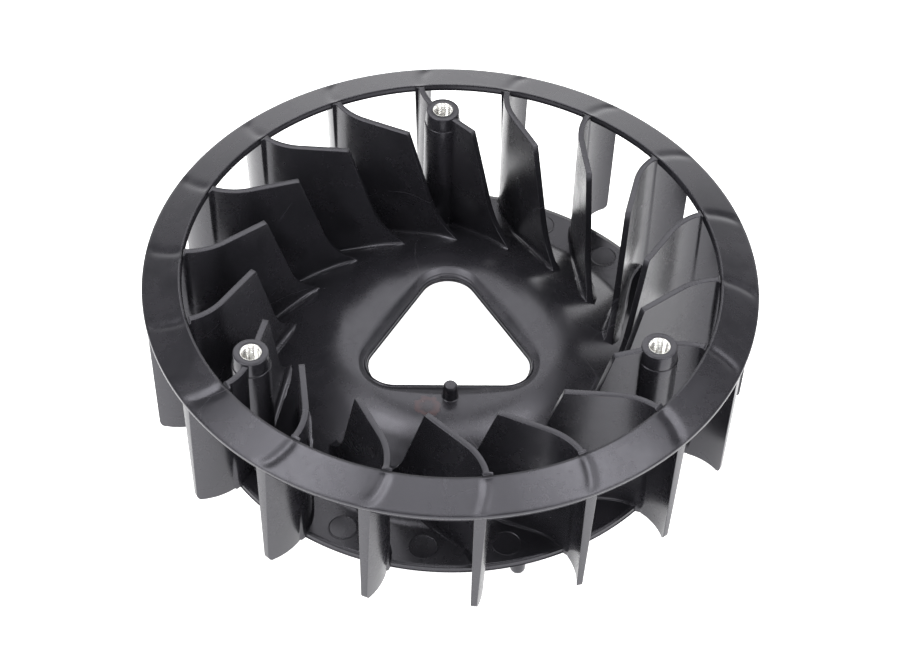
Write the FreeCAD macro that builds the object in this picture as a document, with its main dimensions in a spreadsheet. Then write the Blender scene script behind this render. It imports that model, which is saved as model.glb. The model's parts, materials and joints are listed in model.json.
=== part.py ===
"""Cooling fan of a small engine's flywheel: one moulding with vanes, rim ring, dished base and threaded inserts.

The fan turns about +Z. The origin is on that axis, in the plane of the base's flat underside. Air goes in through
the eye of the rim ring, turns outward over the dish and leaves between the vanes.
"""

import FreeCAD, Part
import math
import os
import re

import Sketcher

SIZES = [
    # rim ring, a shallow cone with its inner edge higher
    ("ring_outer_radius", 100.0),
    ("ring_inner_radius", 87.0),
    ("ring_outer_top", 48.3),
    ("ring_outer_bottom", 45.9),
    ("ring_inner_top", 51.8),
    ("ring_inner_bottom", 49.5),
    # dished base
    ("base_radius", 84.75),
    ("plate_thickness", 2.1),
    ("foot_radius", 54.3),
    ("foot_height", 8.9),
    ("dish_slope", 26.0),
    ("hub_radius", 45.0),
    ("hub_height", 16.65),
    ("hub_thickness", 3.8),
    ("shoulder_radius", 30.0),
    # three-sided opening in the hub, stepped in near its lower edge
    ("opening_apothem", 20.25),
    ("opening_corner_radius", 9.8),
    ("opening_step", 0.6),
    ("opening_step_depth", 2.8),
    ("opening_turn", -88.1),
    # vanes
    ("vane_thickness", 2.0),
    ("vane_offset", 51.1),
    ("vane_start", 10.0),
    ("vane_straight_end", 54.6),
    ("vane_bend_radius", 20.5),
    ("vane_bend_angle", 80.0),
    ("vane_foot_start", 18.4),
    ("vane_top_start", 38.0),
    ("vane_lean", 16.7),
    ("vane_flare_height", 24.0),
    ("vane_tip_radius", 99.8),
    ("vane_tip_foot_radius", 99.0),
    ("vane_tip_rounding", 2.2),
    ("vane_top", 52.0),
    ("first_vane_turn", 137.8),
    # posts that carry the inserts, and the inserts
    ("post_circle_radius", 73.9),
    ("post_offset", 51.6),
    ("post_radius", 6.3),
    ("post_ledge", 47.2),
    ("post_neck_radius", 5.65),
    ("post_top", 52.5),
    ("insert_radius", 4.0),
    ("insert_length", 12.0),
    ("insert_neck_radius", 3.5),
    ("insert_neck_length", 1.0),
    ("thread_radius", 2.5),
    ("thread_mouth_radius", 3.25),
    # pins
    ("pin_radius", 2.5),
    ("pin_height", 5.7),
    ("pin_chamfer", 0.6),
    ("pin_circle_radius", 25.45),
    ("pin_turn", -87.9),
    ("peg_length", 10.0),
    ("peg_rounding", 2.3),
    ("peg_circle_radius", 79.2),
    ("peg_turn", -72.2),
]

NAMES = {alias for alias, _ in SIZES}
VANES = 18
POSTS = 3
VANE_STEP = 360.0 / VANES
POST_STEP = 360.0 / POSTS
CLEAR = 10.0
NEAR = 1e-4

doc = FreeCAD.newDocument("cooling_fan")


def make_sheet():
    sheet = doc.addObject("Spreadsheet::Sheet", "Sizes")
    for row, (alias, number) in enumerate(SIZES, start=1):
        sheet.set("A%d" % row, alias)
        sheet.set("B%d" % row, str(number))
        sheet.setAlias("B%d" % row, alias)
    doc.recompute()
    return sheet


sheet = make_sheet()


def bound(expression):
    """Expression with every size's name led by the sheet's name."""
    return re.sub(r"[a-z]\w*", lambda word: "Sizes." + word[0] if word[0] in NAMES else word[0], expression)


def value(expression):
    """Number that an expression of sizes comes to."""
    result = sheet.evalExpression(bound(expression))
    return float(getattr(result, "Value", result))


# Sizes that several sections share, as expressions of the sheet's cells.
SLOPE = "tan(dish_slope * 1 deg)"
PLATE_DROP = "plate_thickness / cos(dish_slope * 1 deg)"
DISH_END = f"foot_radius + (foot_height - plate_thickness) / {SLOPE}"
UNDER_END = f"foot_radius + (foot_height - {PLATE_DROP}) / {SLOPE}"
HUB_EDGE_TOP = f"foot_height + (foot_radius - hub_radius) * {SLOPE}"
HUB_EDGE_BOTTOM = f"{HUB_EDGE_TOP} - {PLATE_DROP}"
SHOULDER = f"foot_radius - (hub_height - foot_height) / {SLOPE}"
HUB_UNDER = "hub_height - hub_thickness"
HUB_UNDER_END = f"foot_radius - ({HUB_UNDER} - foot_height + {PLATE_DROP}) / {SLOPE}"
RING_UNDER_SLOPE = "(ring_inner_bottom - ring_outer_bottom) / (ring_outer_radius - ring_inner_radius)"
TIP_TOP = f"ring_outer_bottom + (ring_outer_radius - vane_tip_radius) * {RING_UNDER_SLOPE}"
POST_X = "sqrt(post_circle_radius ^ 2 - post_offset ^ 2)"
POST_Y = "0 - post_offset"


def new_body(label, turn=0.0):
    """Body on the fan's axis, turned about it."""
    body = doc.addObject("PartDesign::Body", label)
    body.Label = label
    body.Placement = FreeCAD.Placement(FreeCAD.Vector(), FreeCAD.Rotation(FreeCAD.Vector(0, 0, 1), turn))
    return body


def plane_of(body, role):
    return next(feature for feature in body.Origin.OriginFeatures if feature.Role == role)


def new_sketch(body, name, role="XY_Plane", lift=None):
    sketch = body.newObject("Sketcher::SketchObject", name)
    sketch.AttachmentSupport = (plane_of(body, role), [""])
    sketch.MapMode = "FlatFace"
    if lift:
        sketch.setExpression("AttachmentOffset.Base.z", bound(lift))
    return sketch


def bind(sketch, constraint, expression):
    number = sketch.addConstraint(constraint)
    sketch.setExpression("Constraints[%d]" % number, bound(expression))


def add_loop(sketch, corners, bends=None):
    """Closed outline through corners; bends gives the centre and radius of the edge that leaves a corner."""
    bends = bends or {}
    spots = [FreeCAD.Vector(value(x), value(y), 0) for x, y in corners]
    ends = []
    for i, spot in enumerate(spots):
        following = spots[(i + 1) % len(spots)]
        if i not in bends:
            edge = sketch.addGeometry(Part.LineSegment(spot, following), False)
            ends.append((edge, 1, 2))
            continue
        centre_x, centre_y, radius = bends[i]
        centre = FreeCAD.Vector(value(centre_x), value(centre_y), 0)
        anticlockwise = (spot - centre).cross(following - centre).z > 0
        first, last = (spot, following) if anticlockwise else (following, spot)
        angles = [math.atan2(p.y - centre.y, p.x - centre.x) for p in (first, last)]
        circle = Part.Circle(centre, FreeCAD.Vector(0, 0, 1), value(radius))
        edge = sketch.addGeometry(Part.ArcOfCircle(circle, angles[0], angles[1]), False)
        ends.append((edge, 1, 2) if anticlockwise else (edge, 2, 1))
    for i, (edge, start, _) in enumerate(ends):
        before, _, before_end = ends[i - 1]
        sketch.addConstraint(Sketcher.Constraint("Coincident", before, before_end, edge, start))
    for i, (edge, start, _) in enumerate(ends):
        x, y = corners[i]
        bind(sketch, Sketcher.Constraint("DistanceX", -1, 1, edge, start, spots[i].x), x)
        bind(sketch, Sketcher.Constraint("DistanceY", -1, 1, edge, start, spots[i].y), y)
        if i in bends:
            bind(sketch, Sketcher.Constraint("Radius", edge, value(bends[i][2])), bends[i][2])


def add_circle(sketch, x, y, radius):
    centre = FreeCAD.Vector(value(x), value(y), 0)
    edge = sketch.addGeometry(Part.Circle(centre, FreeCAD.Vector(0, 0, 1), value(radius)), False)
    bind(sketch, Sketcher.Constraint("DistanceX", -1, 1, edge, 3, centre.x), x)
    bind(sketch, Sketcher.Constraint("DistanceY", -1, 1, edge, 3, centre.y), y)
    bind(sketch, Sketcher.Constraint("Radius", edge, value(radius)), radius)


def sweep(body, kind, name, sketch):
    """Revolution or Groove of a section, a full turn about the fan's axis."""
    feature = body.newObject("PartDesign::" + kind, name)
    feature.Profile = sketch
    feature.ReferenceAxis = (sketch, ["V_Axis"])
    feature.Angle = 360.0
    doc.recompute()
    return feature


def extrude(body, kind, name, sketch, length, upward=True):
    """Pad or Pocket of a sketch over a bound length, along its normal (upward) or against it."""
    feature = body.newObject("PartDesign::" + kind, name)
    feature.Profile = sketch
    feature.setExpression("Length", bound(length))
    feature.Reversed = upward if kind == "Pocket" else not upward
    doc.recompute()
    return feature


def dress(body, kind, name, size, radius, height):
    """Fillet or Chamfer on the round edge of a given radius and height."""
    tip = body.Tip
    names = []
    for number, edge in enumerate(tip.Shape.Edges, start=1):
        round_edge = isinstance(edge.Curve, Part.Circle) and abs(edge.Curve.Radius - radius) < NEAR
        if round_edge and abs(edge.Curve.Center.z - height) < NEAR:
            names.append("Edge%d" % number)
    feature = body.newObject("PartDesign::" + kind, name)
    feature.Base = (tip, names)
    feature.setExpression("Radius" if kind == "Fillet" else "Size", bound(size))
    doc.recompute()
    return feature


def make_rim_ring():
    body = new_body("rim_ring")
    section = new_sketch(body, "rim_ring_section", "XZ_Plane")
    add_loop(
        section,
        [
            ("ring_outer_radius", "ring_outer_bottom"),
            ("ring_outer_radius", "ring_outer_top"),
            ("ring_inner_radius", "ring_inner_top"),
            ("ring_inner_radius", "ring_inner_bottom"),
        ],
    )
    sweep(body, "Revolution", "rim_ring_turned", section)
    return body


def make_base_flange():
    """Flat outer part of the base."""
    body = new_body("base_flange")
    section = new_sketch(body, "base_flange_section", "XZ_Plane")
    add_loop(
        section,
        [
            (UNDER_END, "0"),
            ("base_radius", "0"),
            ("base_radius", "plate_thickness"),
            (DISH_END, "plate_thickness"),
        ],
    )
    sweep(body, "Revolution", "base_flange_turned", section)
    return body


def make_base_dish():
    """Sloped part of the base, between the flange and the hub."""
    body = new_body("base_dish")
    section = new_sketch(body, "base_dish_section", "XZ_Plane")
    add_loop(
        section,
        [
            ("hub_radius", HUB_EDGE_BOTTOM),
            (UNDER_END, "0"),
            (DISH_END, "plate_thickness"),
            ("hub_radius", HUB_EDGE_TOP),
        ],
    )
    sweep(body, "Revolution", "base_dish_turned", section)
    return body


def add_rounded_triangle(sketch, apothem):
    """Equal-sided triangle with round corners, one side's normal along +X; apothem is its inner radius."""
    reach = f"({apothem} - opening_corner_radius)"
    corners = []
    bends = {}
    for side in range(3):
        normal = 120 * side
        for turn, bend in ((-60, None), (60, normal + 60)):
            centre = (f"2 * {reach} * cos({normal + turn} deg)", f"2 * {reach} * sin({normal + turn} deg)")
            x = f"{centre[0]} + opening_corner_radius * cos({normal} deg)"
            y = f"{centre[1]} + opening_corner_radius * sin({normal} deg)"
            if bend is not None:
                bends[len(corners)] = (centre[0], centre[1], "opening_corner_radius")
            corners.append((x, y))
    add_loop(sketch, corners, bends)


def make_hub_plate():
    body = new_body("hub_plate", value("opening_turn"))
    section = new_sketch(body, "hub_plate_section", "XZ_Plane")
    add_loop(
        section,
        [
            ("0", HUB_UNDER),
            (HUB_UNDER_END, HUB_UNDER),
            ("hub_radius", HUB_EDGE_BOTTOM),
            ("hub_radius", HUB_EDGE_TOP),
            (SHOULDER, "hub_height"),
            ("0", "hub_height"),
        ],
    )
    sweep(body, "Revolution", "hub_plate_turned", section)
    dress(body, "Fillet", "hub_plate_shoulder", "shoulder_radius", value(SHOULDER), value("hub_height"))
    upper = new_sketch(body, "opening_upper", lift="hub_height")
    add_rounded_triangle(upper, "opening_apothem")
    extrude(body, "Pocket", "opening_upper_cut", upper, "opening_step_depth", upward=False)
    lower = new_sketch(body, "opening_lower", lift="hub_height")
    add_rounded_triangle(lower, "(opening_apothem - opening_step)")
    extrude(body, "Pocket", "opening_lower_cut", lower, "hub_thickness + 1", upward=False)
    return body


def add_vane_plan(sketch):
    """A straight stretch past the axis, then a bend towards the axis' side that ends beyond the tip."""
    inner = "(vane_bend_radius - vane_thickness / 2)"
    outer = "(vane_bend_radius + vane_thickness / 2)"
    centre = ("vane_straight_end", "0 - vane_offset - vane_bend_radius")
    turn_x = "sin(vane_bend_angle * 1 deg)"
    turn_y = "cos(vane_bend_angle * 1 deg)"
    corners = [
        ("vane_start", "0 - vane_offset - vane_thickness / 2"),
        (centre[0], "0 - vane_offset - vane_thickness / 2"),
        (f"{centre[0]} + {inner} * {turn_x}", f"{centre[1]} + {inner} * {turn_y}"),
        (f"{centre[0]} + {outer} * {turn_x}", f"{centre[1]} + {outer} * {turn_y}"),
        (centre[0], "0 - vane_offset + vane_thickness / 2"),
        ("vane_start", "0 - vane_offset + vane_thickness / 2"),
    ]
    add_loop(sketch, corners, {1: (*centre, inner), 3: (*centre, outer)})


def add_outside_of_vanes(sketch):
    """The space above, outside and below the vanes, which follows the ring, the tips and the base."""
    low = f"0 - {CLEAR}"
    high = f"vane_top + {CLEAR}"
    near = f"(vane_offset - {CLEAR})"
    far = f"ring_outer_radius + {CLEAR}"
    rounding = ("vane_tip_foot_radius - vane_tip_rounding", "vane_tip_rounding", "vane_tip_rounding")
    corners = [
        (near, low),
        (far, low),
        (far, high),
        (near, high),
        (near, "vane_top"),
        ("ring_inner_radius", "vane_top"),
        ("ring_inner_radius", "ring_inner_bottom"),
        ("vane_tip_radius", TIP_TOP),
        ("vane_tip_foot_radius", "vane_tip_rounding"),
        ("vane_tip_foot_radius - vane_tip_rounding", "0"),
        ("base_radius", "0"),
        ("base_radius", "plate_thickness"),
        (DISH_END, "plate_thickness"),
        (near, f"foot_height + (foot_radius - {near}) * {SLOPE}"),
    ]
    add_loop(sketch, corners, {8: rounding})


def add_lead_in(sketch):
    """The space in front of a vane's inner edge, which leans outward and flares to the foot on an arc."""
    lean = "vane_lean * 1 deg"
    flare_x = f"vane_top_start - (vane_top - vane_flare_height) * tan({lean})"
    run = f"(vane_foot_start - ({flare_x}))"
    rise = "(foot_height - vane_flare_height)"
    radius = f"({run} ^ 2 + {rise} ^ 2) / (2 * (sin({lean}) * {rise} - cos({lean}) * {run}))"
    centre = (f"{flare_x} - {radius} * cos({lean})", f"vane_flare_height + {radius} * sin({lean})")
    corners = [
        ("0", f"0 - {CLEAR}"),
        ("vane_foot_start", f"0 - {CLEAR}"),
        ("vane_foot_start", "foot_height"),
        (flare_x, "vane_flare_height"),
        (f"vane_top_start + {CLEAR} * tan({lean})", f"vane_top + {CLEAR}"),
        ("0", f"vane_top + {CLEAR}"),
    ]
    add_loop(sketch, corners, {2: (*centre, radius)})


def make_vane(number):
    """Vane; the ones that carry a post are interrupted by it."""
    label = "vane_%02d" % number
    body = new_body(label, value("first_vane_turn") - VANE_STEP * (number - 1))
    with_post = (number - 1) % (VANES // POSTS) == 0
    body.AllowCompound = with_post
    plan = new_sketch(body, label + "_plan", lift=f"0 - {CLEAR}")
    add_vane_plan(plan)
    extrude(body, "Pad", label + "_pad", plan, f"vane_top + 2 * {CLEAR}")
    outside = new_sketch(body, label + "_outside", "XZ_Plane")
    add_outside_of_vanes(outside)
    sweep(body, "Groove", label + "_trim", outside)
    lead_in = new_sketch(body, label + "_lead_in", "XZ_Plane")
    add_lead_in(lead_in)
    extrude(body, "Pocket", label + "_lead_in_cut", lead_in, "ring_outer_radius")
    if with_post:
        neck = new_sketch(body, label + "_neck_gap")
        add_circle(neck, POST_X, POST_Y, "post_neck_radius")
        extrude(body, "Pocket", label + "_neck_cut", neck, f"vane_top + {CLEAR}")
        post = new_sketch(body, label + "_post_gap")
        add_circle(post, POST_X, POST_Y, "post_radius")
        extrude(body, "Pocket", label + "_post_cut", post, "post_ledge")
    return body


def make_insert_post(number):
    label = "insert_post_%d" % number
    body = new_body(label, value("first_vane_turn") - POST_STEP * (number - 1))
    for part, radius, top in (("post", "post_radius", "post_ledge"), ("neck", "post_neck_radius", "post_top")):
        circle = new_sketch(body, f"{label}_{part}")
        add_circle(circle, POST_X, POST_Y, radius)
        extrude(body, "Pad", f"{label}_{part}_pad", circle, top)
    seat = new_sketch(body, label + "_seat", "XZ_Plane")
    far = f"ring_outer_radius + {CLEAR}"
    add_loop(
        seat,
        [
            ("foot_radius", f"0 - {CLEAR}"),
            (far, f"0 - {CLEAR}"),
            (far, "plate_thickness"),
            (DISH_END, "plate_thickness"),
            ("foot_radius", "foot_height"),
        ],
    )
    sweep(body, "Groove", label + "_seat_cut", seat)
    for part, radius, depth in (
        ("neck_bore", "insert_neck_radius", "insert_neck_length"),
        ("bore", "insert_radius", "insert_length"),
    ):
        lift = "post_top" if part == "neck_bore" else "post_top - insert_neck_length"
        circle = new_sketch(body, f"{label}_{part}", lift=lift)
        add_circle(circle, POST_X, POST_Y, radius)
        length = depth if part == "neck_bore" else f"{depth} - insert_neck_length"
        extrude(body, "Pocket", f"{label}_{part}_cut", circle, length, upward=False)
    return body


def make_threaded_insert(number):
    """Metal insert moulded into a post, its thread drawn at tapping size with a chamfered mouth."""
    label = "threaded_insert_%d" % number
    body = new_body(label, value("first_vane_turn") - POST_STEP * (number - 1))
    barrel = new_sketch(body, label + "_barrel", lift="post_top - insert_length")
    add_circle(barrel, POST_X, POST_Y, "insert_radius")
    extrude(body, "Pad", label + "_barrel_pad", barrel, "insert_length - insert_neck_length")
    neck = new_sketch(body, label + "_neck", lift="post_top - insert_neck_length")
    add_circle(neck, POST_X, POST_Y, "insert_neck_radius")
    extrude(body, "Pad", label + "_neck_pad", neck, "insert_neck_length")
    thread = new_sketch(body, label + "_thread", lift="post_top")
    add_circle(thread, POST_X, POST_Y, "thread_radius")
    extrude(body, "Pocket", label + "_thread_cut", thread, "insert_length + 1", upward=False)
    mouth = "thread_mouth_radius - thread_radius"
    dress(body, "Chamfer", label + "_mouth", mouth, value("thread_radius"), value("post_top"))
    return body


def make_locator_pin():
    body = new_body("locator_pin", value("pin_turn"))
    circle = new_sketch(body, "locator_pin_circle", lift="hub_height")
    add_circle(circle, "pin_circle_radius", "0", "pin_radius")
    extrude(body, "Pad", "locator_pin_pad", circle, "pin_height")
    top = value("hub_height + pin_height")
    dress(body, "Chamfer", "locator_pin_chamfer", "pin_chamfer", value("pin_radius"), top)
    return body


def make_drive_peg(number):
    """Round-ended peg under the base, for a hole in the engine's flywheel."""
    label = "drive_peg_%d" % number
    body = new_body(label, value("peg_turn") + POST_STEP * (number - 1))
    circle = new_sketch(body, label + "_circle")
    add_circle(circle, "peg_circle_radius", "0", "pin_radius")
    extrude(body, "Pad", label + "_pad", circle, "peg_length", upward=False)
    dress(body, "Fillet", label + "_end", "peg_rounding", value("pin_radius"), -value("peg_length"))
    return body


def check(bodies):
    """Stop if any object failed or any sub-part has no sound shape."""
    doc.recompute()
    for item in doc.Objects:
        faults = [state for state in item.State if state in ("Invalid", "Error")]
        if faults:
            raise RuntimeError("%s is %s" % (item.Label, faults))
    for body in bodies:
        shape = body.Shape
        if shape.isNull() or not shape.isValid() or not shape.Solids:
            raise RuntimeError("%s has no sound shape" % body.Label)
        print(body.Label, "solids", len(shape.Solids), "volume", round(shape.Volume, 2))


def main():
    bodies = [make_rim_ring(), make_base_flange(), make_base_dish(), make_hub_plate(), make_locator_pin()]
    bodies += [make_vane(number) for number in range(1, VANES + 1)]
    for number in range(1, POSTS + 1):
        bodies += [make_insert_post(number), make_threaded_insert(number), make_drive_peg(number)]
    check(bodies)
    os.makedirs("parts", exist_ok=True)
    for body in bodies:
        body.Shape.exportStep("parts/%s.step" % body.Label)


main()
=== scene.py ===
"""Looks of a moulded cooling fan for a small engine's flywheel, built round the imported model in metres.

The fan's axis is Z. Every vane is one plan curve, a straight stretch and a bend, turned about the axis.
"""

import json
import math

import bmesh
import bpy
import numpy as np
from mathutils import Matrix, Vector


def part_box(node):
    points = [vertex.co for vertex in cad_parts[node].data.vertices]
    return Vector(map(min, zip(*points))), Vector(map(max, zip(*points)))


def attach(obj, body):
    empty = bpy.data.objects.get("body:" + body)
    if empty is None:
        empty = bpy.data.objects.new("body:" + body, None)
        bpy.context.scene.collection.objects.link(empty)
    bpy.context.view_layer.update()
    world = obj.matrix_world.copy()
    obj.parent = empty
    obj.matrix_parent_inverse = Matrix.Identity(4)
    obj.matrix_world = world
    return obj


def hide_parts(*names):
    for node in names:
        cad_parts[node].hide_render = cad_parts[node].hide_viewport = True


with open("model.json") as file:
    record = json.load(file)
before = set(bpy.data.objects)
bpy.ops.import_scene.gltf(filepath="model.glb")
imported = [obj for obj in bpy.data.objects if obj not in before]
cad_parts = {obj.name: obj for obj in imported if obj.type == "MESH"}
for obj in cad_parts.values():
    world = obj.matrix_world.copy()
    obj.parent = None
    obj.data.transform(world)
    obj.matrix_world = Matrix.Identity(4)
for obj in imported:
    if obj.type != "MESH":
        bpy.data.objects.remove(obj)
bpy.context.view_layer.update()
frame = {"record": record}

MM = 0.001
TURN = 2 * math.pi
MOUNTS = {mount["name"]: mount for mount in frame["record"]["mounts"]}

# Main sizes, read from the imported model.
RING_LOW, RING_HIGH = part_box("rim_ring")
BASE_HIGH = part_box("base_flange")[1]
HUB_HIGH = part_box("hub_plate")[1]
POST_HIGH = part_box("insert_post_1")[1]
PIN_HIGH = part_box("locator_pin")[1]
PEG_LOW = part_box("drive_peg_1")[0]
RING_RADIUS = round(RING_HIGH.x, 4)
RING_TOP = RING_HIGH.z
RING_BOTTOM = RING_LOW.z
BASE_RADIUS = round(BASE_HIGH.x, 5)
HUB_TOP = HUB_HIGH.z

# Ring.
RING_WIDTH = 13.0 * MM
RING_EYE = RING_RADIUS - RING_WIDTH
RING_FALL = 3.5 * MM
RING_EDGE = 0.35 * MM
RING_STEPS = 1080
SINK_DEPTH = 0.36 * MM
SINK_WIDTH = 1.3 * MM
SINK_OUTER_FADE = 3.5 * MM
SINK_INNER_FADE = 2.5 * MM

# Base: plate, slope, hub and the hub's opening; the foot is a point on the slope.
BASE_STEPS = 720
BASE_EDGE = 0.15 * MM
PLATE = 2.1 * MM
FOOT_RADIUS = 54.3 * MM
FOOT_HEIGHT = 8.9 * MM
SLOPE = math.radians(26.0)
HUB_PLATE = 3.8 * MM
SHOULDER_BEND = 30.0 * MM
FOOT_BEND = 7.0 * MM
OPENING_APOTHEM = 20.25 * MM
OPENING_CORNER = 9.8 * MM
OPENING_STEP = 0.6 * MM
OPENING_STEP_DEPTH = 2.8 * MM
OPENING_TURN = math.radians(-88.1)
OPENING_RIM = 2.0 * MM
CLEAR_OF_OPENING = 36.5 * MM
WALL_BEND = 0.2 * MM
WALL_TOP_BEND = 0.6 * MM
MARK_RADIUS = 4.9 * MM
MARK_CIRCLE = 76.6 * MM
MARK_TURN = math.radians(-52.5)

# Vanes: plan curve, side outline and thickness. The parting line runs just inside the ring's eye.
VANES = 18
VANE_STEP = TURN / VANES
FIRST_TURN = math.radians(137.8)
VANE_OFFSET = 51.1 * MM
BEND_START = 54.6 * MM
BEND_RADIUS = 20.5 * MM
INNER_FOOT = 18.4 * MM
INNER_TOP = 38.0 * MM
INNER_LEAN = math.radians(16.7)
FLARE_HEIGHT = 24.0 * MM
VANE_TOP = 52.0 * MM
TIP_RADIUS = 99.8 * MM
TIP_FOOT_RADIUS = 99.0 * MM
TIP_ROUNDING = 2.2 * MM
TIP_LEAN = 0.657
TIP_BLEND = 4.0 * MM
TOP_CORNER = 2 / 3 * MM
PARTING_RADIUS = 86.2 * MM
PARTING_STEP = 0.3 * MM
VANE_EDGE = 0.2 * MM
LEAST_HALF = 0.05 * MM
SUNK = 1.0 * MM
SUNK_IN_RING = 1.15 * MM
CLEAR_OF_BASE = 81.5 * MM
DROP_LENGTH = 2.5 * MM

# Half thickness of a vane's sides in millimetres: at height 0, and its change up to the vane's top.
CONVEX_INSIDE = (0.85, 0.1)
CONVEX_OUTSIDE = (0.2, 1.8)
CONCAVE_INSIDE = (1.45, -0.4)
CONCAVE_OUTSIDE = (1.6, -0.3)

# Fillets at the vanes' feet: their radius far out and its gain further in, from GAIN_START inward. At a
# vane's inner edge they start at a share of their size. The foot follows the base up to FOOT_FOLLOWS.
ROOT_FILLET = 0.8 * MM
ROOT_FILLET_GAIN = 1.8 * MM
GAIN_START = 75.0 * MM
GAIN_LENGTH = 20.0 * MM
FILLET_START = 0.2
FILLET_GROWTH = 7.0 * MM
FOOT_FOLLOWS = 3.0 * MM
FOOT_BLEND = 10.0 * MM

# Posts and inserts.
POSTS = 3
POST_STEP = TURN / POSTS
POST_CIRCLE = MOUNTS["insert_bolts"]["dims"]["pcd_mm"] / 2 * MM
POST_OFFSET = 51.6 * MM
POST_X = math.sqrt(POST_CIRCLE ** 2 - POST_OFFSET ** 2)
POST_RADIUS = 6.3 * MM
POST_LEDGE = 47.2 * MM
NECK_RADIUS = 5.65 * MM
POST_TOP = POST_HIGH.z
POST_CUT = 4.9 * MM
POST_FILLET = 0.8 * MM
ROUND_STEPS = 72
PIN_STEPS = 48
INSERT_RADIUS = 4.0 * MM
INSERT_NECK = 3.5 * MM
INSERT_NECK_LENGTH = 1.0 * MM
INSERT_LENGTH = 12.0 * MM
THREAD_RADIUS = 2.5 * MM
THREAD_DEPTH = 0.5 * MM
THREAD_PITCH = 1.0 * MM
MOUTH_RADIUS = 3.25 * MM
MOUTH_SLOPE = 0.9
KNURL_DEPTH = 0.12 * MM
SEAT_GAP = 0.01 * MM

PIN_RADIUS = MOUNTS["locator_pin"]["dims"]["r_mm"] * MM
PEG_CIRCLE = MOUNTS["locating_pegs"]["dims"]["pcd_mm"] / 2 * MM
PEG_RADIUS = MOUNTS["locating_pegs"]["dims"]["stud_r_mm"] * MM
PEG_TURN = math.radians(-72.2)


# ---------------------------------------------------------------- outlines

def rounded_line(corners, radii, step=math.radians(15)):
    """Open line through corners, its inner corners rounded off by arcs of the given radii."""
    points = [np.array(corners[0], float)]
    for before, corner, after, radius in zip(corners, corners[1:], corners[2:], radii):
        before, corner, after = (np.array(p, float) for p in (before, corner, after))
        back = (before - corner) / np.linalg.norm(before - corner)
        ahead = (after - corner) / np.linalg.norm(after - corner)
        half = math.acos(np.clip(back @ ahead, -1, 1)) / 2
        if radius <= 0 or half > math.radians(89.9):
            points.append(corner)
            continue
        middle = (back + ahead) / np.linalg.norm(back + ahead)
        centre = corner + middle * radius / math.sin(half)
        start = corner + back * radius / math.tan(half) - centre
        sweep = math.pi - 2 * half
        if start[0] * ahead[1] - start[1] * ahead[0] < 0:
            sweep = -sweep
        count = max(2, round(abs(sweep) / step))
        for i in range(count + 1):
            c, s = math.cos(sweep * i / count), math.sin(sweep * i / count)
            points.append(centre + np.array([c * start[0] - s * start[1], s * start[0] + c * start[1]]))
    points.append(np.array(corners[-1], float))
    return np.array(points)


def densified(points, longest):
    """The same line with no stretch longer than longest."""
    dense = [points[0]]
    for a, b in zip(points, points[1:]):
        count = max(1, math.ceil(np.linalg.norm(b - a) / longest))
        dense += [a + (b - a) * i / count for i in range(1, count + 1)]
    return np.array(dense)


def along(points, fractions):
    """Points at fractions of an open line's length."""
    lengths = np.concatenate([[0], np.cumsum(np.linalg.norm(np.diff(points, axis=0), axis=1))])
    places = np.asarray(fractions) * lengths[-1]
    return np.stack([np.interp(places, lengths, points[:, axis]) for axis in (0, 1)], axis=-1)


# ---------------------------------------------------------------- meshes

def grid_faces(rows, columns, closed_rows=False, closed_columns=False, first=0):
    """Quads of a grid whose vertices are numbered row by row."""
    row_count = rows if closed_rows else rows - 1
    column_count = columns if closed_columns else columns - 1
    i, j = np.meshgrid(np.arange(row_count), np.arange(column_count), indexing="ij")
    i_next, j_next = (i + 1) % rows, (j + 1) % columns
    corners = [i * columns + j, i * columns + j_next, i_next * columns + j_next, i_next * columns + j]
    return (np.stack(corners, axis=-1).reshape(-1, 4) + first).tolist()


def add_piece(name, vertices, faces, material, *nodes, finish="fan_plastic"):
    """Smooth-shaded mesh piece that rides on the fan and stands for CAD nodes."""
    mesh = bpy.data.meshes.new(name)
    mesh.from_pydata(np.asarray(vertices).reshape(-1, 3).tolist(), [], faces)
    mesh.validate()
    mesh.polygons.foreach_set("use_smooth", [True] * len(mesh.polygons))
    mesh.materials.append(material)
    piece = bpy.data.objects.new(name, mesh)
    bpy.context.scene.collection.objects.link(piece)
    fix_facing(piece)
    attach(piece, "root")
    if nodes:
        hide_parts(*nodes)
    return piece


def fix_facing(piece):
    """Every face of the mesh looks outward."""
    work = bmesh.new()
    work.from_mesh(piece.data)
    bmesh.ops.remove_doubles(work, verts=work.verts, dist=1e-7)
    bmesh.ops.recalc_face_normals(work, faces=work.faces)
    work.to_mesh(piece.data)
    work.free()


def turned(points, angle):
    """Points turned about the fan's axis."""
    points = np.asarray(points, float)
    c, s = math.cos(angle), math.sin(angle)
    x, y = points[..., 0], points[..., 1]
    return np.stack([c * x - s * y, s * x + c * y, points[..., 2]], axis=-1)


def lathe(profile, steps, centre=(0.0, 0.0)):
    """Vertices of a profile (radius, height) turned about an upright axis, a row per angle."""
    angles = np.arange(steps) * TURN / steps
    radius, height = profile[:, 0], profile[:, 1]
    x = centre[0] + np.cos(angles)[:, None] * radius
    y = centre[1] + np.sin(angles)[:, None] * radius
    return np.stack([x, y, np.broadcast_to(height, x.shape)], axis=-1)


# ---------------------------------------------------------------- shapes of the fan

def vane_plan(s):
    """Plan curve of a vane: place and normal (towards the hollow of its neighbour) at distance s."""
    s = np.asarray(s, float)
    bend = np.maximum(s - BEND_START, 0) / BEND_RADIUS
    x = np.minimum(s, BEND_START) + BEND_RADIUS * np.sin(bend)
    y = -VANE_OFFSET - BEND_RADIUS * (1 - np.cos(bend))
    return x, y, np.sin(bend), np.cos(bend)


PLAN_PLACES = np.linspace(0, 90 * MM, 1801)
PLAN_RADII = np.hypot(*vane_plan(PLAN_PLACES)[:2])


def plan_at(radius):
    """Distance along the plan curve at which it reaches a radius."""
    return float(np.interp(radius, PLAN_RADII, PLAN_PLACES))


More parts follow.
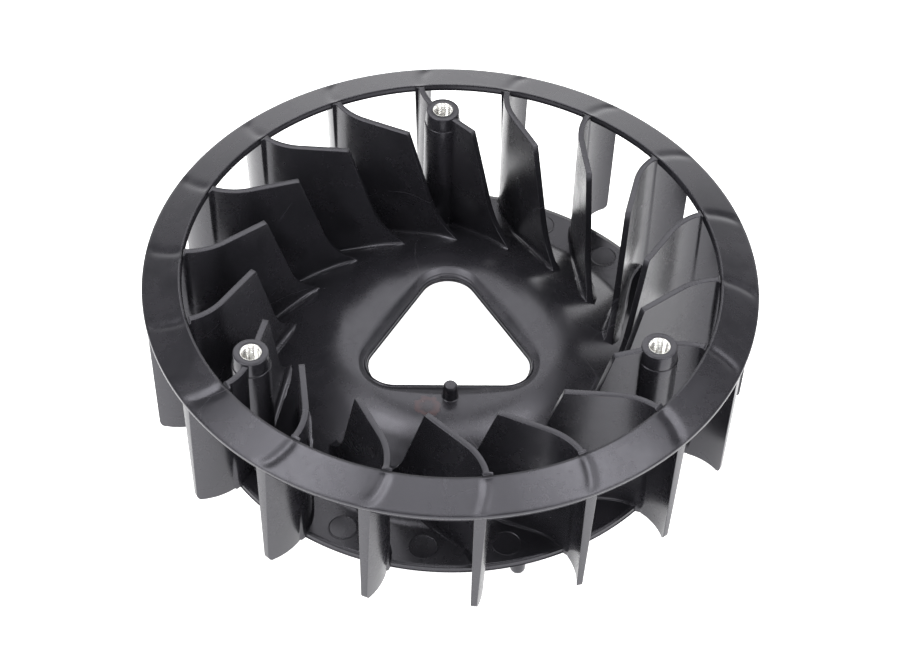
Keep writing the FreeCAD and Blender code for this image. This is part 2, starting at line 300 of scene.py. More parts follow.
HUB_EDGE = FOOT_RADIUS - (HUB_TOP - FOOT_HEIGHT) / math.tan(SLOPE)
DISH_END = FOOT_RADIUS + (FOOT_HEIGHT - PLATE) / math.tan(SLOPE)
FINE = math.radians(1.5)
BASE_TOP_LINE = rounded_line(
    [(24.0 * MM, HUB_TOP), (HUB_EDGE, HUB_TOP), (DISH_END, PLATE), (BASE_RADIUS, PLATE)],
    [SHOULDER_BEND, FOOT_BEND],
    FINE,
)


def base_top(radius):
    """Height of the base's upper side."""
    return np.interp(radius, BASE_TOP_LINE[:, 0], BASE_TOP_LINE[:, 1])


def sink(points):
    """Depth of the sink marks that the vanes leave in the ring's upper side."""
    depth = np.zeros(points.shape[:-1])
    radius = np.hypot(points[..., 0], points[..., 1])
    for k in range(VANES):
        local = turned(points, k * VANE_STEP - FIRST_TURN)
        x, y = local[..., 0] - BEND_START, local[..., 1] + VANE_OFFSET + BEND_RADIUS
        off = np.hypot(x, y) - BEND_RADIUS
        on_bend = (x > 0) & (y > 0)
        depth += np.where(on_bend, np.exp(-0.5 * (off / SINK_WIDTH) ** 2), 0)
    outer = np.clip((RING_RADIUS - radius) / SINK_OUTER_FADE, 0, 1)
    inner = np.clip((radius - RING_RADIUS + RING_WIDTH) / SINK_INNER_FADE, 0, 1)
    return SINK_DEPTH * depth * np.sin(outer * math.pi / 2) * np.sin(inner * math.pi / 2)


def add_ring(material):
    """Conical ring with sink marks; its profile starts halfway up the outer edge."""
    outer_top = RING_TOP - RING_FALL
    inner_bottom = RING_BOTTOM + RING_FALL + 0.1 * MM
    corners = [
        (RING_RADIUS, (RING_BOTTOM + outer_top) / 2),
        (RING_RADIUS, outer_top),
        (RING_EYE, RING_TOP),
        (RING_EYE, inner_bottom),
        (RING_RADIUS, RING_BOTTOM),
        (RING_RADIUS, (RING_BOTTOM + outer_top) / 2),
    ]
    profile = densified(rounded_line(corners, [RING_EDGE] * 4, math.radians(22.5)), 0.8 * MM)[:-1]
    vertices = lathe(profile, RING_STEPS)
    middle = (inner_bottom + RING_TOP) / 2 - (profile[:, 0] - RING_EYE) * RING_FALL / RING_WIDTH
    upper = profile[:, 1] > middle
    vertices[..., 2] -= np.where(upper, sink(vertices), 0)
    faces = grid_faces(RING_STEPS, len(profile), True, True)
    add_piece("rim_ring_moulded", vertices, faces, material, "rim_ring")


def opening_outline(angles, offset):
    """Radius of the rounded three-sided opening at angles from one side's normal, offset outward."""
    folded = np.abs((angles + math.pi / 3) % (TURN / 3) - math.pi / 3)
    apothem = OPENING_APOTHEM + offset
    bend = OPENING_CORNER + max(offset, 0)
    reach = apothem - bend
    flat = apothem / np.cos(folded)
    off = math.pi / 3 - folded
    inside = np.maximum(bend ** 2 - (2 * reach * np.sin(off)) ** 2, 0)
    corner = 2 * reach * np.cos(off) + np.sqrt(inside)
    return np.where(apothem * np.tan(folded) <= reach * math.sqrt(3), flat, corner)


def add_base(material):
    """Dish and hub in one skin: up the opening's stepped wall, out over the top and back underneath."""
    ledge = HUB_TOP - OPENING_STEP_DEPTH
    hub_under = HUB_TOP - HUB_PLATE
    wall = rounded_line(
        [
            (-OPENING_STEP, hub_under),
            (-OPENING_STEP, ledge),
            (0, ledge),
            (0, HUB_TOP),
            (OPENING_RIM, HUB_TOP),
        ],
        [WALL_BEND, WALL_BEND, WALL_TOP_BEND],
        math.radians(15),
    )
    wall_under = rounded_line(
        [(OPENING_RIM, hub_under), (-OPENING_STEP, hub_under), (-OPENING_STEP, hub_under + MM)],
        [BASE_EDGE],
        math.radians(22.5),
    )
    drop = PLATE / math.cos(SLOPE)
    under_edge = FOOT_RADIUS - (hub_under - FOOT_HEIGHT + drop) / math.tan(SLOPE)
    under_end = FOOT_RADIUS + (FOOT_HEIGHT - drop) / math.tan(SLOPE)
    skin = rounded_line(
        [
            (MM, HUB_TOP),
            (HUB_EDGE, HUB_TOP),
            (DISH_END, PLATE),
            (BASE_RADIUS, PLATE),
            (BASE_RADIUS, 0),
            (under_end, 0),
            (under_edge, hub_under),
            (MM, hub_under),
        ],
        [SHOULDER_BEND, FOOT_BEND, BASE_EDGE, BASE_EDGE, FOOT_BEND, 4 * MM],
        math.radians(3),
    )
    skin = [point for point in densified(skin, 1.6 * MM) if point[0] > CLEAR_OF_OPENING + MM]
    angles = np.arange(BASE_STEPS) * TURN / BASE_STEPS
    columns = []
    for offset, height in wall[1:-1]:
        outline = opening_outline(angles, offset)
        settled = base_top(outline) - HUB_TOP if height > ledge + 0.3 * MM else 0
        columns.append((outline, height + settled))
    rim = opening_outline(angles, OPENING_RIM)
    for share in (0, 0.25, 0.5, 0.75, 1):
        radius = rim + (CLEAR_OF_OPENING - rim) * share
        columns.append((radius, base_top(radius)))
    for radius, height in skin:
        columns.append((np.full(BASE_STEPS, radius), height))
    for share in (1, 0.75, 0.5, 0.25, 0):
        columns.append((rim + (CLEAR_OF_OPENING - rim) * share, hub_under))
    for offset, height in wall_under[1:-1]:
        columns.append((opening_outline(angles, offset), height))
    radii = np.stack([column[0] for column in columns], axis=1)
    heights = np.stack([np.broadcast_to(column[1], BASE_STEPS) for column in columns], axis=1)
    turn = angles[:, None] + OPENING_TURN
    vertices = np.stack([radii * np.cos(turn), radii * np.sin(turn), heights], axis=-1)
    faces = grid_faces(BASE_STEPS, len(columns), True, True)
    vertices, faces = with_ejector_marks(vertices.reshape(-1, 3), faces)
    add_piece("base_moulded", vertices, faces, material, "base_flange", "base_dish", "hub_plate")


def with_ejector_marks(vertices, faces):
    """Adds the round marks of the mould's ejector pins, discs with a thin raised rim, one per vane."""
    sunk = PLATE - 0.2 * MM
    crest = PLATE + 0.15 * MM
    disc = PLATE + 0.03 * MM
    profile = rounded_line(
        [
            (0, sunk),
            (MARK_RADIUS, sunk),
            (MARK_RADIUS - 0.05 * MM, crest),
            (MARK_RADIUS - 0.35 * MM, crest),
            (MARK_RADIUS - 0.6 * MM, disc),
            (0, disc),
        ],
        [0, 0.06 * MM, 0.06 * MM, 0.1 * MM],
        math.radians(30),
    )
    steps = 64
    for k in range(VANES):
        outward = FIRST_TURN + MARK_TURN - k * VANE_STEP
        centre = (MARK_CIRCLE * math.cos(outward), MARK_CIRCLE * math.sin(outward))
        pad = lathe(profile, steps, centre).reshape(-1, 3)
        faces = faces + grid_faces(steps, len(profile), True, True, len(vertices))
        vertices = np.concatenate([vertices, pad])
    return vertices, faces


# ---------------------------------------------------------------- vanes

def coons(bottom, top, left, right, u, v):
    """Flat grid between four edge lines: rows at fractions v, columns at fractions u."""
    bottom, top, left, right = along(bottom, u), along(top, u), along(left, v), along(right, v)
    u, v = u[None, :, None], v[:, None, None]
    ruled_v = (1 - v) * bottom[None] + v * top[None]
    ruled_u = (1 - u) * left[:, None] + u * right[:, None]
    corners = (1 - v) * ((1 - u) * bottom[0] + u * bottom[-1]) + v * ((1 - u) * top[0] + u * top[-1])
    return ruled_v + ruled_u - corners


def spread(length, start, end, longest):
    """Fractions of a length: given distances in from each end, and even steps between them."""
    first = start[-1] if len(start) else 0.0
    last = length - (end[-1] if len(end) else 0.0)
    count = max(1, math.ceil((last - first) / longest))
    middle = np.linspace(first, last, count + 1)
    places = np.concatenate([start[:-1], middle, length - np.asarray(end[:-1])[::-1]])
    return places / length


# A vane's rounded edge: distances in from the edge, and how much thinner each side is there.
ROUNDING = [math.radians(a) for a in (90, 67.5, 45, 22.5, 0)]
EDGE_INSETS = np.array([VANE_EDGE * (1 - math.sin(a)) for a in ROUNDING])
EDGE_DROPS = np.array([VANE_EDGE * (1 - math.cos(a)) for a in ROUNDING])

# Distances in from an edge at which the grid has lines.
NO_STEPS = np.array([0.0])
EDGE_STEPS = np.append(EDGE_INSETS, 1.5 * VANE_EDGE)
TIP_STEPS = np.append(EDGE_STEPS, np.array([0.7, 1.0, 1.4, 1.8, 2.4]) * MM)
FOOT_STEPS = np.array([0, 0.35, 0.7, 0.95, 1.05, 1.2, 1.4, 1.65, 2.0, 2.5, 3.2, 4.1]) * MM
ROWS = spread(VANE_TOP, FOOT_STEPS, EDGE_STEPS, 3.5 * MM)


def vane_bottom(s):
    """Lower edge: just inside the base, and level with its underside where it stands clear of it."""
    radius = np.hypot(*vane_plan(s)[:2])
    inside = base_top(radius) - SUNK
    share = np.clip((radius - CLEAR_OF_BASE) / DROP_LENGTH, 0, 1)
    return inside * (1 - share)


def vane_top(s):
    """Upper edge: level up to the ring, and then inside the ring's thickness."""
    radius = np.hypot(*vane_plan(s)[:2])
    under = RING_TOP - SUNK_IN_RING - (radius - RING_EYE) * RING_FALL / RING_WIDTH
    share = np.clip((radius - RING_EYE) / (0.5 * MM), 0, 1)
    return VANE_TOP * (1 - share) + under * share


def inner_edge():
    """Inner edge from inside the base up: a flare along an arc, then a straight lean."""
    flare = INNER_TOP - (VANE_TOP - FLARE_HEIGHT) * math.tan(INNER_LEAN)
    foot = np.array([INNER_FOOT, FOOT_HEIGHT])
    start = np.array([flare, FLARE_HEIGHT])
    run, rise = foot - start
    radius = (run ** 2 + rise ** 2) / (2 * (math.sin(INNER_LEAN) * rise - math.cos(INNER_LEAN) * run))
    centre = start + radius * np.array([-math.cos(INNER_LEAN), math.sin(INNER_LEAN)])
    ends = [math.atan2(*(point - centre)[::-1]) for point in (foot, start)]
    arc = [centre + radius * np.array([math.cos(a), math.sin(a)]) for a in np.linspace(*ends, 25)]
    onward = (arc[0] - arc[1]) / np.linalg.norm(arc[0] - arc[1])
    return np.array([arc[0] + 1.5 * SUNK * onward] + arc + [(INNER_TOP, VANE_TOP)])


def side_thickness(s, z, concave):
    """Half thickness with the mould's draft, which steps at the parting line."""
    rise = np.clip(z / VANE_TOP, 0, 1)
    inside, outside = (CONCAVE_INSIDE, CONCAVE_OUTSIDE) if concave else (CONVEX_INSIDE, CONVEX_OUTSIDE)
    beyond = s > plan_at(PARTING_RADIUS) + 0.1 * MM
    return np.where(beyond, outside[0] + outside[1] * rise, inside[0] + inside[1] * rise) * MM


def root_fillet(s, z, from_inner_edge):
    """Extra half thickness at the vane's foot; it starts small at the vane's inner edge."""
    radius = np.hypot(*vane_plan(s)[:2])
    fillet = ROOT_FILLET + ROOT_FILLET_GAIN * np.clip((GAIN_START - radius) / GAIN_LENGTH, 0, 1)
    height = np.clip(z - base_top(radius), 0, fillet)
    flare = fillet - np.sqrt(fillet ** 2 - (fillet - height) ** 2)
    if from_inner_edge:
        flare = flare * np.clip(FILLET_START + (s - s[:, :1]) / FILLET_GROWTH, 0, 1)
    return flare * np.clip((BASE_RADIUS - radius) / (0.6 * MM), 0, 1)


def edge_line(places, height):
    """Points of a vane's lower or upper edge at distances along its plan curve."""
    return np.stack([places, height(places)], axis=-1)


def inner_sheet(start, end):
    """Flat grid from the inner edge, or from a given start, to an end, and the drops of its columns."""
    if start is None:
        edge = inner_edge()
        around = rounded_line([edge[-2], edge[-1], edge[-1] + (5 * MM, 0)], [TOP_CORNER])
        half = len(around) // 2
        left = np.concatenate([edge[:-1], around[1:half + 1]])
        top_start = around[half:-1]
        first_steps = EDGE_STEPS
    else:
        left = np.array([(start, vane_bottom(start)), (start, vane_top(start))])
        top_start = left[-1:]
        first_steps = NO_STEPS
    low_start, high_start = left[0][0], top_start[0][0]
    places = np.linspace(low_start, end, 60)[1:]
    bottom = np.concatenate([left[:1], edge_line(places, vane_bottom)])
    places = np.linspace(top_start[-1][0], end, 60)[1:]
    top = np.concatenate([top_start, edge_line(places, vane_top)])
    right = np.array([bottom[-1], top[-1]])
    columns = spread((end - low_start + end - high_start) / 2, first_steps, NO_STEPS, 1.4 * MM)
    drops = np.zeros(len(columns))
    if start is None:
        drops[:len(EDGE_DROPS)] = EDGE_DROPS
    return coons(bottom, top, left, right, columns, ROWS), drops


def tip_sheet():
    """Flat grid of a vane's outer part, past the parting line, and the drops of its columns."""
    start = plan_at(PARTING_RADIUS) + PARTING_STEP
    under_ring = plan_at(RING_EYE + 0.6 * MM)
    tip_top, tip_foot = plan_at(TIP_RADIUS), plan_at(TIP_FOOT_RADIUS)
    corner = rounded_line(
        [(tip_foot - 6 * MM, 0), (tip_foot, 0), (tip_foot + 0.1 * MM, 6 * MM)],
        [TIP_ROUNDING],
        math.radians(7),
    )
    half = len(corner) // 2
    places = np.linspace(start, tip_foot - 3.5 * MM, 12)
    bottom = np.concatenate([edge_line(places, vane_bottom), corner[1:half + 1]])
    right = np.concatenate([corner[half:-1], edge_line(np.array([tip_top]), vane_top)])
    places = np.concatenate([
        np.linspace(start, under_ring, 6)[:-1],
        np.linspace(under_ring, tip_top, 12),
    ])
    top = edge_line(places, vane_top)
    left = np.array([bottom[0], top[0]])
    columns = spread(tip_top - start, NO_STEPS, TIP_STEPS, 1.0 * MM)
    drops = np.zeros(len(columns))
    drops[-len(EDGE_DROPS):] = EDGE_DROPS[::-1]
    return coons(bottom, top, left, right, columns, ROWS), drops


def vane_panel(start, end):
    """One closed panel of a vane in its own frame, between distances along its plan curve.

    Without a start it begins at the inner edge, and without an end it reaches the tip.
    """
    reaches_tip = end is None
    sheet, column_drops = inner_sheet(start, plan_at(PARTING_RADIUS) if reaches_tip else end)
    if reaches_tip:
        tip, tip_drops = tip_sheet()
        sheet = np.concatenate([sheet, tip], axis=1)
        column_drops = np.concatenate([column_drops, tip_drops])
    row_drops = np.zeros(len(ROWS))
    row_drops[-len(EDGE_DROPS):] = EDGE_DROPS[::-1]
    drop = np.maximum(column_drops[None], row_drops[:, None])
    if reaches_tip:
        low = np.interp(sheet[:, :, 1], EDGE_INSETS, EDGE_DROPS)
        drop = np.maximum(drop, np.where(sheet[:, :, 0] > plan_at(BASE_RADIUS), low, 0))
    return closed_sheet(sheet, drop, start is None)


def closed_sheet(sheet, drop, from_inner_edge):
    """Both sides of a vane from its flat grid, with the rim between them closed.

    Near the tip the sides follow the ring's cylinder, and near the foot the slope of the base.
    """
    s, z = sheet[..., 0], sheet[..., 1]
    ground = base_top(np.hypot(*vane_plan(s)[:2]))
    near_tip = np.clip(1 - (plan_at(TIP_RADIUS) - s) / TIP_BLEND, 0, 1)
    near_foot = np.clip(1 - (z - ground - FOOT_FOLLOWS) / FOOT_BLEND, 0, 1)
    sides = []
    for sign, concave in ((1, False), (-1, True)):
        half = side_thickness(s, z, concave) + root_fillet(s, z, from_inner_edge)
        offset = sign * np.maximum(half - drop, LEAST_HALF)
        x, y, normal_x, normal_y = vane_plan(s - TIP_LEAN * offset * near_tip)
        x, y = x + offset * normal_x, y + offset * normal_y
        lift = base_top(np.hypot(x, y)) - ground
        sides.append(np.stack([x, y, z + lift * near_foot], axis=-1))
    rows, columns = s.shape
    count = rows * columns
    vertices = np.concatenate([side.reshape(-1, 3) for side in sides])
    faces = grid_faces(rows, columns) + grid_faces(rows, columns, first=count)
    index = np.arange(count).reshape(rows, columns)
    rim = np.concatenate([index[0, :-1], index[:-1, -1], index[-1, :0:-1], index[:0:-1, 0]])
    following = np.roll(rim, -1)
    faces += np.stack([rim, following, following + count, rim + count], axis=-1).tolist()
    return vertices, faces


def add_vane(number, material):
    """Vane; the ones that carry a post are two panels, one each side of it."""
    if number % (VANES // POSTS) == 1:
        panels = [vane_panel(None, POST_X - POST_CUT), vane_panel(POST_X + POST_CUT, None)]
    else:
        panels = [vane_panel(None, None)]
    vertices, faces = panels[0]
    for more_vertices, more_faces in panels[1:]:
        faces = faces + [[i + len(vertices) for i in face] for face in more_faces]
        vertices = np.concatenate([vertices, more_vertices])
    vertices = turned(vertices, FIRST_TURN - (number - 1) * VANE_STEP)
    label = "vane_%02d" % number
    add_piece(label + "_moulded", vertices, faces, material, label)


# ---------------------------------------------------------------- posts, inserts and pins

def post_place(number):
    """Centre of a post, which stands a little beside its vane's plan curve."""
    centre = turned((POST_X, -POST_OFFSET, 0), FIRST_TURN - (number - 1) * POST_STEP)
    return centre[0], centre[1]


def add_post(number, material):
    """Post with a fillet at its foot, a ledge and a neck, and a seat for its insert."""
    root = POST_RADIUS + POST_FILLET
    bore_floor = POST_TOP - INSERT_LENGTH
    profile = rounded_line(
        [
            (0, MM),
            (root, MM),
            (root, PLATE),
            (POST_RADIUS + 0.05 * MM, PLATE + 0.05 * MM),
            (POST_RADIUS, POST_LEDGE),
            (NECK_RADIUS, POST_LEDGE),
            (NECK_RADIUS, POST_TOP),
            (INSERT_NECK, POST_TOP),
            (INSERT_NECK, POST_TOP - INSERT_NECK_LENGTH),
            (INSERT_RADIUS, POST_TOP - INSERT_NECK_LENGTH),
            (INSERT_RADIUS, bore_floor),
            (0, bore_floor),
        ],
        [0, 0, POST_FILLET, 0.25 * MM, 0.2 * MM, 0.3 * MM, 0.15 * MM, 0, 0, 0],
        math.radians(22.5),
    )
    profile = densified(profile, 4 * MM)
    vertices = lathe(profile, ROUND_STEPS, post_place(number))
    faces = grid_faces(ROUND_STEPS, len(profile), True, False)
    label = "insert_post_%d" % number
    add_piece(label + "_moulded", vertices, faces, material, label)


def add_insert(number, material):
    """Metal insert with a cut thread, a chamfered mouth and a knurled barrel."""
    angles = np.arange(ROUND_STEPS) * TURN / ROUND_STEPS
    bottom = POST_TOP - INSERT_LENGTH
    shoulder = POST_TOP - INSERT_NECK_LENGTH
    neck = INSERT_NECK - SEAT_GAP
    barrel = INSERT_RADIUS - SEAT_GAP
    # Thread flanks, cut flat at crest and root.
    heights = np.arange(bottom, POST_TOP + 1e-9, THREAD_PITCH / 10)
    phase = (heights[None] / THREAD_PITCH - angles[:, None] / TURN) % 1.0
    tooth = np.clip(1.6 * (1 - np.abs(2 * phase - 1)) - 0.3, 0, 1)
    bore = THREAD_RADIUS + THREAD_DEPTH * (1 - tooth)
    chamfer = MOUTH_RADIUS - np.maximum(POST_TOP - heights, 0)[None] * MOUTH_SLOPE
    bore = np.maximum(bore, chamfer)
    bore[:, -1] = MOUTH_RADIUS
    outside = rounded_line(
        [
            (MOUTH_RADIUS, POST_TOP),
            (neck, POST_TOP),
            (neck, shoulder),
            (barrel, shoulder),
            (barrel, bottom),
            (THREAD_RADIUS + THREAD_DEPTH, bottom),
        ],
        [0.08 * MM, 0, 0.2 * MM, 0.2 * MM],
        math.radians(30),
    )[1:-1]
    outer = np.broadcast_to(outside[:, 0], (ROUND_STEPS, len(outside))).copy()
    # The knurl covers the barrel, below the neck.
    knurl = KNURL_DEPTH * (np.arange(ROUND_STEPS) % 2)
    outer[:, 4:] -= knurl[:, None]
    radii = np.concatenate([bore, outer], axis=1)
    levels = np.broadcast_to(np.concatenate([heights, outside[:, 1]]), radii.shape)
    x, y = post_place(number)
    turn = angles[:, None]
    vertices = np.stack([x + radii * np.cos(turn), y + radii * np.sin(turn), levels], axis=-1)
    faces = grid_faces(ROUND_STEPS, radii.shape[1], True, True)
    label = "threaded_insert_%d" % number
    add_piece(label + "_cut", vertices, faces, material, label, finish="insert_steel")


def add_round_pin(name, node, centre, corners, radii, material):
    """Upright turned pin from the corners of its profile and the radii that round them."""
    profile = densified(rounded_line(corners, radii, math.radians(15)), 1.5 * MM)
    vertices = lathe(profile, PIN_STEPS, centre)
    faces = grid_faces(PIN_STEPS, len(profile), True, False)
    add_piece(name, vertices, faces, material, node)


def add_locator_pin(material):
    """Short pin on the hub, drawn in and chamfered at the top."""
    place = MOUNTS["locator_pin"]["pos_m"]
    top = PIN_HIGH.z
    corners = [
        (0, HUB_TOP - MM),
        (PIN_RADIUS + 0.4 * MM, HUB_TOP - MM),
        (PIN_RADIUS + 0.4 * MM, HUB_TOP),
        (PIN_RADIUS, HUB_TOP + 0.02 * MM),
        (PIN_RADIUS - 0.1 * MM, top - 0.8 * MM),
        (PIN_RADIUS - 0.65 * MM, top),
        (0, top),
    ]
    radii = [0, 0, 0.25 * MM, 0.9 * MM, 0.3 * MM]
    add_round_pin("locator_pin_moulded", "locator_pin", place[:2], corners, radii, material)


def add_peg(number, material):
    """Round-ended peg under the base."""
    angle = PEG_TURN + (number - 1) * POST_STEP
    place = (PEG_CIRCLE * math.cos(angle), PEG_CIRCLE * math.sin(angle))
    tip = PEG_LOW.z
    corners = [
        (0, MM),
        (PEG_RADIUS + 0.7 * MM, MM),
        (PEG_RADIUS + 0.7 * MM, 0),
        (PEG_RADIUS + 0.05 * MM, -0.02 * MM),
        (PEG_RADIUS - 0.05 * MM, tip),
        (0, tip),
    ]
    radii = [0, 0, 0.6 * MM, 2.1 * MM]
    label = "drive_peg_%d" % number
    add_round_pin(label + "_moulded", label, place, corners, radii, material)


# ---------------------------------------------------------------- materials

def new_material(name):
    material = bpy.data.materials.new(name)
    material.use_nodes = True
    tree = material.node_tree
    return material, tree, tree.nodes["Principled BSDF"]


def add_node(tree, kind, **settings):
    """Node whose settings are the values of its own sockets or properties."""
    node = tree.nodes.new(kind)
    for key, setting in settings.items():
        if key in node.inputs:
            node.inputs[key].default_value = setting
        else:
            setattr(node, key, setting)
    return node


def set_input(tree, socket, source):
    """Links an output to a socket, or gives the socket its own value."""
    if isinstance(source, bpy.types.NodeSocket):
        tree.links.new(source, socket)
    else:
        socket.default_value = source


def add_noise(tree, place, scale, detail, roughness, distortion=0.0):
    node = add_node(tree, "ShaderNodeTexNoise", Scale=scale, Detail=detail, Roughness=roughness)
    node.inputs["Distortion"].default_value = distortion
    tree.links.new(place, node.inputs["Vector"])
    return node.outputs["Fac"]


def add_range(tree, source, low, high, out_low, out_high):
    """Source mapped from one range to another, and held at its ends."""
    node = add_node(tree, "ShaderNodeMapRange")
    tree.links.new(source, node.inputs["Value"])
    keys = ("From Min", "From Max", "To Min", "To Max")
    for key, number in zip(keys, (low, high, out_low, out_high)):
        node.inputs[key].default_value = number
    return node.outputs["Result"]


def add_math(tree, operation, a, b):
    node = add_node(tree, "ShaderNodeMath", operation=operation)
    set_input(tree, node.inputs[0], a)
    set_input(tree, node.inputs[1], b)
    return node.outputs["Value"]


def add_mix(tree, share, first, second):
    """Colour between two colours, which may be outputs themselves."""
    node = add_node(tree, "ShaderNodeMix", data_type="RGBA")
    tree.links.new(share, node.inputs[0])
    set_input(tree, node.inputs[6], first)
    set_input(tree, node.inputs[7], second)
    return node.outputs[2]


def add_hairlines(tree, place):
    """Share of thin bent scratches: the edges of warped cells, shown only in patches."""
    warp = add_node(tree, "ShaderNodeTexNoise", Scale=18.0, Detail=2.0)
    tree.links.new(place, warp.inputs["Vector"])
    shrunk = add_node(tree, "ShaderNodeVectorMath", operation="SCALE", Scale=0.03)
    tree.links.new(warp.outputs["Color"], shrunk.inputs[0])
    bent = add_node(tree, "ShaderNodeVectorMath", operation="ADD")
    tree.links.new(place, bent.inputs[0])
    tree.links.new(shrunk.outputs["Vector"], bent.inputs[1])
    cells = add_node(tree, "ShaderNodeTexVoronoi", feature="DISTANCE_TO_EDGE", Scale=26.0)
    tree.links.new(bent.outputs["Vector"], cells.inputs["Vector"])
    line = add_range(tree, cells.outputs["Distance"], 0.0, 0.008, 1.0, 0.0)
    patch = add_range(tree, add_noise(tree, place, 30.0, 3.0, 0.6), 0.54, 0.66, 0.0, 1.0)
    return add_math(tree, "MULTIPLY", line, patch)


def add_painted_pin_reflection(tree, place, mottle):
    """Share of the painted reflection of the locator pin: a ragged, lighter brownish ring painted into
    the hub's upper side beside the pin.
    """
    centre = (-6.4 * MM, -30.0 * MM, HUB_TOP)
    distance = add_node(tree, "ShaderNodeVectorMath", operation="DISTANCE")
    tree.links.new(place, distance.inputs[0])
    distance.inputs[1].default_value = centre
    wobble = add_range(tree, mottle, 0.3, 0.7, -0.9 * MM, 0.9 * MM)
    ragged = add_math(tree, "ADD", distance.outputs["Value"], wobble)
    inner = add_range(tree, ragged, 1.6 * MM, 3.4 * MM, 0.15, 1.0)
    outer = add_range(tree, ragged, 3.6 * MM, 4.6 * MM, 1.0, 0.0)
    height = add_node(tree, "ShaderNodeSeparateXYZ")
    tree.links.new(place, height.inputs["Vector"])
    on_top = add_range(tree, height.outputs["Z"], HUB_TOP - 2 * MM, HUB_TOP - MM, 0.0, 0.5)
    return add_math(tree, "MULTIPLY", add_math(tree, "MULTIPLY", inner, outer), on_top)


def make_plastic():
    """Dark moulded plastic: cloudy flow marks, a fine grain, scratches and a painted reflection of the
    locator pin on the hub.
    """
    material, tree, shader = new_material("fan_plastic_moulded")
    place = add_node(tree, "ShaderNodeTexCoord").outputs["Object"]
    cloud = add_noise(tree, place, 45.0, 3.0, 0.6, 0.6)
    mottle = add_noise(tree, place, 420.0, 4.0, 0.6)
    grain = add_noise(tree, place, 3600.0, 2.0, 0.5)

    scratch = add_hairlines(tree, place)
    clouded = add_range(tree, cloud, 0.3, 0.7, 0.0, 1.0)
    tone = add_mix(tree, clouded, (0.0105, 0.0105, 0.0125, 1), (0.0155, 0.0148, 0.0180, 1))
    scratched = add_mix(tree, scratch, tone, (0.030, 0.029, 0.034, 1))
    # Painted reflection: the locator pin's reflection on the hub, painted into the colour as a lighter
    # brownish ring beside the pin.
    with_painted_reflection = add_mix(tree, add_painted_pin_reflection(tree, place, mottle), scratched, (0.075, 0.030, 0.026, 1))
    tree.links.new(with_painted_reflection, shader.inputs["Base Color"])

    broad = add_range(tree, cloud, 0.3, 0.7, 0.21, 0.31)
    rough = add_math(tree, "ADD", broad, add_range(tree, mottle, 0.3, 0.7, -0.02, 0.02))
    rough = add_math(tree, "ADD", rough, add_math(tree, "MULTIPLY", scratch, 0.08))
    tree.links.new(rough, shader.inputs["Roughness"])

    bump = add_node(tree, "ShaderNodeBump", Strength=0.1, Distance=0.00005)
    relief = add_math(tree, "ADD", grain, add_math(tree, "MULTIPLY", mottle, 1.5))
    tree.links.new(add_math(tree, "SUBTRACT", relief, scratch), bump.inputs["Height"])
    tree.links.new(bump.outputs["Normal"], shader.inputs["Normal"])
    shader.inputs["Specular IOR Level"].default_value = 0.55
    shader.inputs["Specular Tint"].default_value = (0.92, 0.905, 1.0, 1)
    return material


def make_steel():
    """Bright turned and tapped metal, with faint turning rings and a little tarnish."""
    material, tree, shader = new_material("insert_steel_turned")
    place = add_node(tree, "ShaderNodeTexCoord").outputs["Object"]
    tarnish = add_noise(tree, place, 700.0, 4.0, 0.6)
    tarnished = add_range(tree, tarnish, 0.35, 0.7, 0.0, 1.0)
    tone = add_mix(tree, tarnished, (0.86, 0.85, 0.83, 1), (0.70, 0.69, 0.66, 1))
    tree.links.new(tone, shader.inputs["Base Color"])
    tree.links.new(add_range(tree, tarnish, 0.3, 0.7, 0.16, 0.3), shader.inputs["Roughness"])
    rings = add_node(tree, "ShaderNodeTexWave", wave_type="BANDS", bands_direction="Z", Scale=2600.0)
    tree.links.new(place, rings.inputs["Vector"])
    bump = add_node(tree, "ShaderNodeBump", Strength=0.15, Distance=0.00002)
    tree.links.new(rings.outputs["Fac"], bump.inputs["Height"])
    tree.links.new(bump.outputs["Normal"], shader.inputs["Normal"])
    shader.inputs["Metallic"].default_value = 1.0
    return material


# ---------------------------------------------------------------- stage, camera and light

# The camera's distance and rise are measured from the axis, level with the ring's outer top edge.
CAMERA_RISE = math.radians(46.272)
CAMERA_DISTANCE = 0.74183
CAMERA_ABOVE = RING_TOP - RING_FALL
CAMERA_AIM = Vector((0.0002, 0.0, 0.0229))
CAMERA_ROLL = math.radians(1.767)
CAMERA_LENS = 91.33

FLOOR_HALF = 3.0
SOFTBOX_AIM = Vector((0, 0, 30 * MM))
SOFTBOX_DISTANCE = 1.25


def add_camera():
    back = CAMERA_DISTANCE * math.cos(CAMERA_RISE)
    up_by = CAMERA_DISTANCE * math.sin(CAMERA_RISE)
    place = Vector((0, -back, CAMERA_ABOVE + up_by))
    ahead = (CAMERA_AIM - place).normalized()
    right = ahead.cross(Vector((0, 0, 1))).normalized()
    up = right.cross(ahead)
    c, s = math.cos(CAMERA_ROLL), math.sin(CAMERA_ROLL)
    axes = (c * right + s * up, c * up - s * right, -ahead)
    data = bpy.data.cameras.new("camera")
    data.lens = CAMERA_LENS
    data.sensor_width = 36.0
    camera = bpy.data.objects.new("camera", data)
    camera.matrix_world = Matrix.Translation(place) @ Matrix(axes).transposed().to_4x4()
    bpy.context.scene.collection.objects.link(camera)
    bpy.context.scene.camera = camera


def add_softbox(name, height, turn, size, power):
    """Area light aimed at the fan, with its height and its turn from the back in degrees."""
    height, turn = math.radians(height), math.radians(turn)
    level = math.cos(height)
    towards = Vector((math.sin(turn) * level, math.cos(turn) * level, math.sin(height)))
    data = bpy.data.lights.new(name, "AREA")
    data.shape = "RECTANGLE"
    data.size, data.size_y = size
    data.energy = power
    light = bpy.data.objects.new(name, data)
    light.location = SOFTBOX_AIM + SOFTBOX_DISTANCE * towards
    light.rotation_euler = (-towards).to_track_quat("-Z", "Y").to_euler()
    bpy.context.scene.collection.objects.link(light)


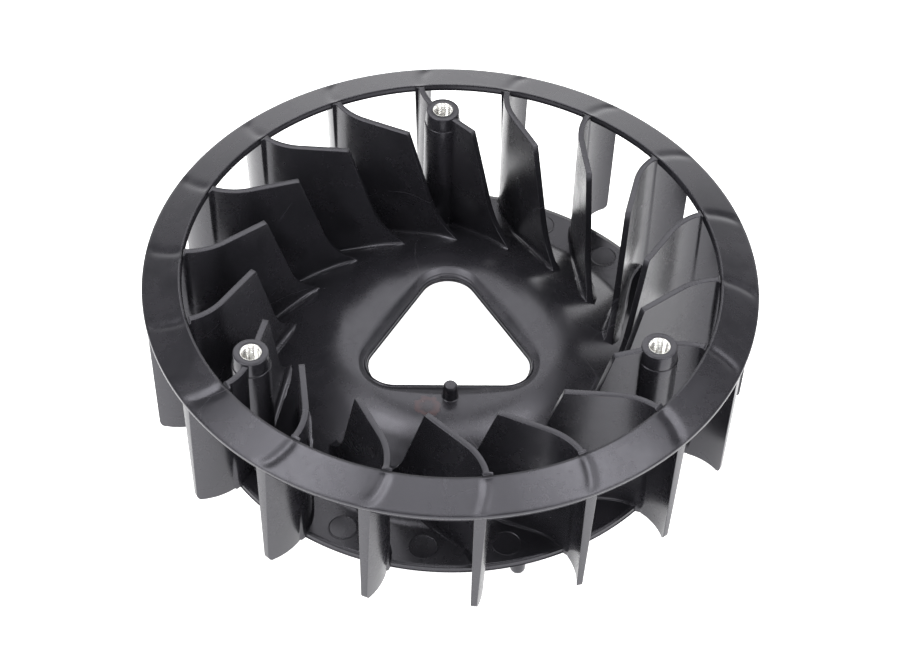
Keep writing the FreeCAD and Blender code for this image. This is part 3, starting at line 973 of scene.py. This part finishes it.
def add_stage():
    """White paper under the pegs, a surround that is brighter near the horizon, and soft lights."""
    floor_mesh = bpy.data.meshes.new("floor")
    ends = ((-1, -1), (1, -1), (1, 1), (-1, 1))
    corners = [(x * FLOOR_HALF, y * FLOOR_HALF, PEG_LOW.z) for x, y in ends]
    floor_mesh.from_pydata(corners, [], [(0, 1, 2, 3)])
    floor = bpy.data.objects.new("floor", floor_mesh)
    bpy.context.scene.collection.objects.link(floor)
    material, _, shader = new_material("floor_paper")
    shader.inputs["Base Color"].default_value = (0.9, 0.9, 0.9, 1)
    shader.inputs["Roughness"].default_value = 0.9
    shader.inputs["Emission Color"].default_value = (1, 1, 1, 1)
    shader.inputs["Emission Strength"].default_value = 1.0
    floor_mesh.materials.append(material)

    world = bpy.data.worlds.new("studio")
    world.use_nodes = True
    tree = world.node_tree
    height = add_node(tree, "ShaderNodeSeparateXYZ")
    tree.links.new(add_node(tree, "ShaderNodeTexCoord").outputs["Generated"], height.inputs["Vector"])
    glow = add_range(tree, height.outputs["Z"], 0.25, 0.55, 2.2, 0.2)
    tree.links.new(glow, tree.nodes["Background"].inputs["Strength"])
    tree.nodes["Background"].inputs["Color"].default_value = (1, 1, 1, 1)
    bpy.context.scene.world = world
    bpy.context.scene.view_settings.view_transform = "Standard"

    add_softbox("softbox_back", 48, 0, (0.95, 0.34), 3.0)
    add_softbox("softbox_over_left", 68, -35, (0.35, 0.35), 1.5)
    add_softbox("softbox_over_right", 68, 35, (0.35, 0.35), 1.5)
    add_softbox("softbox_top", 86, 0, (0.35, 0.35), 1.2)
    add_softbox("softbox_left", 68, -75, (0.4, 0.4), 3.2)
    add_softbox("softbox_right", 68, 75, (0.4, 0.4), 3.2)
    add_softbox("softbox_front_left", 50, -120, (0.5, 0.5), 4.5)
    add_softbox("softbox_front_right", 40, 130, (0.5, 0.5), 3.5)
    add_softbox("softbox_front", 40, 180, (0.5, 0.5), 2.5)


# ---------------------------------------------------------------- the fan

plastic = make_plastic()
steel = make_steel()
add_ring(plastic)
add_base(plastic)
for vane_number in range(1, VANES + 1):
    add_vane(vane_number, plastic)
for post_number in range(1, POSTS + 1):
    add_post(post_number, plastic)
    add_insert(post_number, steel)
    add_peg(post_number, plastic)
add_locator_pin(plastic)
add_camera()
add_stage()
